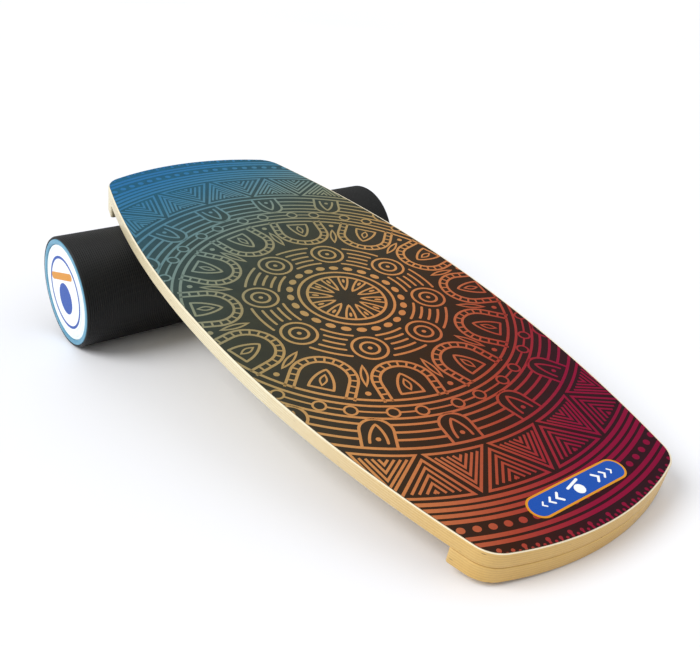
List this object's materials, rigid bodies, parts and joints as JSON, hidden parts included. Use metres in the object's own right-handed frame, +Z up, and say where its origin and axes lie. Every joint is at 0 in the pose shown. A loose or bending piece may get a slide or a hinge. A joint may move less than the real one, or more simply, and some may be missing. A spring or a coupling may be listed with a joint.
{
  "type": "balance board",
  "caption": "Balance board: bowed plywood deck with printed top and a stop strip under each end, tipping and rolling on a loose rubber-sleeved roller.",
  "frame": {"origin": "middle of the object's footprint, on the floor", "axes": "+X towards the end of the deck that rests on the floor, +Y across the deck along the roller's axis, +Z up"},
  "size_m": [0.7621, 0.465, 0.1779],
  "materials": {
    "birch_plywood": "bare sanded birch plywood under clear lacquer, plies showing on the edge",
    "printed_sheet": "satin printed sheet, dark ground with a line ornament running from blue through orange to crimson",
    "badge_print": "printed film, blue with an amber border",
    "zinc_steel": "zinc-plated screws",
    "black_rubber": "matt black rubber with fine ribs round it",
    "light_blue_plastic": "light blue pipe, satin",
    "white_plastic": "white, smooth",
    "label_print": "round printed label, blue and amber on white"
  },
  "bodies": {
    "roller": {"roller_sleeve": "black_rubber"},
    "roller_core": {"roller_tube": "light_blue_plastic"},
    "roller_ends": {"end_plug_left": "white_plastic", "end_plug_right": "white_plastic", "end_label_left": "label_print", "end_label_right": "label_print"},
    "board": {"deck": "birch_plywood", "deck_graphic": "printed_sheet", "deck_badge": "badge_print", "near_stop": "birch_plywood", "far_stop": "birch_plywood", "near_stop_screw_1": "zinc_steel", "near_stop_screw_2": "zinc_steel", "near_stop_screw_3": "zinc_steel", "near_stop_screw_4": "zinc_steel", "near_stop_screw_5": "zinc_steel", "far_stop_screw_1": "zinc_steel", "far_stop_screw_2": "zinc_steel", "far_stop_screw_3": "zinc_steel", "far_stop_screw_4": "zinc_steel", "far_stop_screw_5": "zinc_steel"}
  },
  "joints": [
    {"name": "deck_rock", "type": "hinge", "parent": "roller", "child": "roller_core", "pos_m": [-0.26342, 0, 0.069], "axis": [0, -1, 0], "range_deg": [0, 21.2]},
    {"name": "deck_travel", "type": "slide", "parent": "roller_core", "child": "board", "axis": [-0.9823, 0, 0.1873], "range_m": [0, 0.532]},
    {"name": "roller_spin", "type": "hinge", "parent": "roller_core", "child": "roller_ends", "pos_m": [-0.26342, 0, 0.069], "axis": [0, -1, 0], "continuous": true}
  ],
  "couplings": [
    {"joint": "roller_spin", "follows": "deck_travel", "rad_per_m": 14.493}
  ]
}
